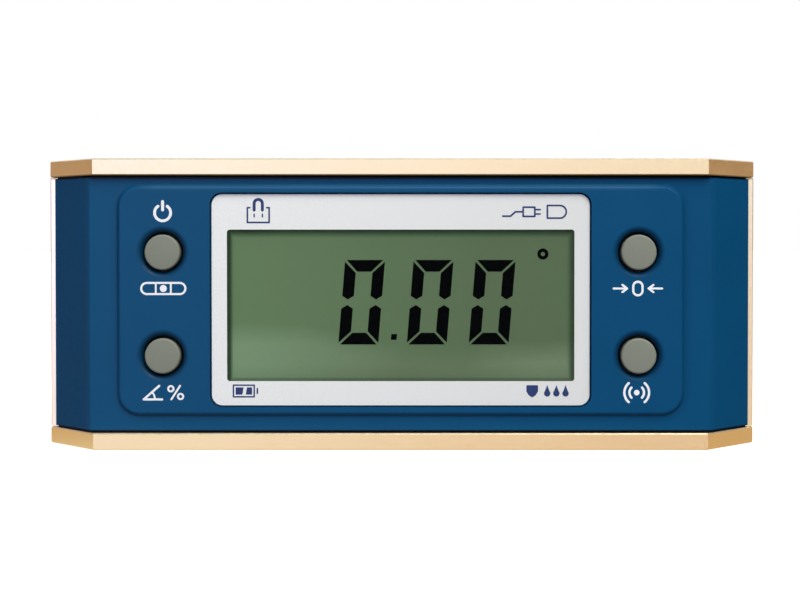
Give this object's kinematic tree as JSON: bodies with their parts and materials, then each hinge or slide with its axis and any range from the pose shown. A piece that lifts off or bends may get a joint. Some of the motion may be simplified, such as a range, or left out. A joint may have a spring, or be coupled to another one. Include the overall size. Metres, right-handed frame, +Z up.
{
  "type": "digital spirit level",
  "caption": "Pocket digital spirit level: metal measuring rails round a moulded body with a display, press keys and a hinged flap over its charging port.",
  "frame": {"origin": "centre of the base measuring face, which the level stands on", "axes": "+X along the level to the right as the display is read, +Y from the display to the back, +Z up"},
  "size_m": [0.15, 0.032, 0.06],
  "materials": {
    "gold_anodised": "satin anodised, pale gold",
    "body_blue": "fine matt moulded texture",
    "rear_blue": "fine matt moulded texture",
    "white_print": "white print under the lens",
    "clear_lens": "clear polished acrylic",
    "lcd_glass": "polished thin glass",
    "lcd_ground": "thin glass with a green-grey polariser",
    "lcd_green": "green-grey reflective film",
    "light_guide_clear": "dotted clear acrylic",
    "key_grey": "matt silicone",
    "web_grey": "matt silicone",
    "carbon": "matt carbon rubber",
    "black_rubber": "matt rubber",
    "black_foam": "closed-cell foam",
    "black_plastic": "moulded black",
    "white_plastic": "moulded white",
    "board_green": "solder mask",
    "chip_black": "moulded package",
    "steel": "zinc plated",
    "nickel": "nickel plated",
    "magnet": "nickel plated",
    "brass_post": "turned brass",
    "cell_wrap": "shrink wrap",
    "tin": "tinned ends"
  },
  "bodies": {
    "level_body": {"top_rail": "gold_anodised", "base_rail": "gold_anodised", "left_end_plate": "gold_anodised", "right_end_plate": "gold_anodised", "top_rail_screws": "steel", "base_rail_screws": "steel", "end_plate_screws": "steel", "base_magnets": "magnet", "front_housing": "body_blue", "rear_cover": "rear_blue", "housing_seal": "black_rubber", "cover_screws": "steel", "display_lens": "clear_lens", "display_mask": "white_print", "lens_tape": "black_foam", "lcd_foam": "black_foam", "lcd_front_glass": "lcd_glass", "lcd_rear_glass": "lcd_ground", "lcd_rear_film": "lcd_green", "light_guide": "light_guide_clear", "backlight_lamps": "white_plastic", "contact_strips": "carbon", "lcd_holder": "white_plastic", "main_board": "board_green", "board_screws": "steel", "left_keypad_web": "web_grey", "right_keypad_web": "web_grey", "port_frame": "black_plastic", "usb_socket": "nickel", "charge_board": "board_green", "charge_spacers": "brass_post", "charge_screws": "steel", "board_header": "black_plastic", "battery_cell": "cell_wrap", "battery_holder": "black_plastic", "battery_contacts": "nickel", "buzzer": "black_plastic", "tilt_sensor": "chip_black", "microcontroller": "chip_black", "surface_parts": "tin", "power_key_dome": "web_grey", "tilt_key_dome": "web_grey", "zero_key_dome": "web_grey", "sound_key_dome": "web_grey"},
    "power_button": {"power_key": "key_grey", "power_key_pill": "carbon"},
    "tilt_button": {"tilt_key": "key_grey", "tilt_key_pill": "carbon"},
    "zero_button": {"zero_key": "key_grey", "zero_key_pill": "carbon"},
    "sound_button": {"sound_key": "key_grey", "sound_key_pill": "carbon"},
    "charging_flap": {"port_flap": "black_rubber"}
  },
  "joints": [
    {"name": "power_press", "type": "slide", "parent": "level_body", "child": "power_button", "axis": [0, 1, 0], "range_m": [0, 0.001], "stiffness_N_per_m": 1200, "deforming": ["power_key_dome"]},
    {"name": "tilt_press", "type": "slide", "parent": "level_body", "child": "tilt_button", "axis": [0, 1, 0], "range_m": [0, 0.001], "stiffness_N_per_m": 1200, "deforming": ["tilt_key_dome"]},
    {"name": "zero_press", "type": "slide", "parent": "level_body", "child": "zero_button", "axis": [0, 1, 0], "range_m": [0, 0.001], "stiffness_N_per_m": 1200, "deforming": ["zero_key_dome"]},
    {"name": "sound_press", "type": "slide", "parent": "level_body", "child": "sound_button", "axis": [0, 1, 0], "range_m": [0, 0.001], "stiffness_N_per_m": 1200, "deforming": ["sound_key_dome"]},
    {"name": "flap_hinge", "type": "hinge", "parent": "level_body", "child": "charging_flap", "pos_m": [0.0739, 0.0096, 0.03], "axis": [0, 0, 1], "range_deg": [0, 110]}
  ]
}
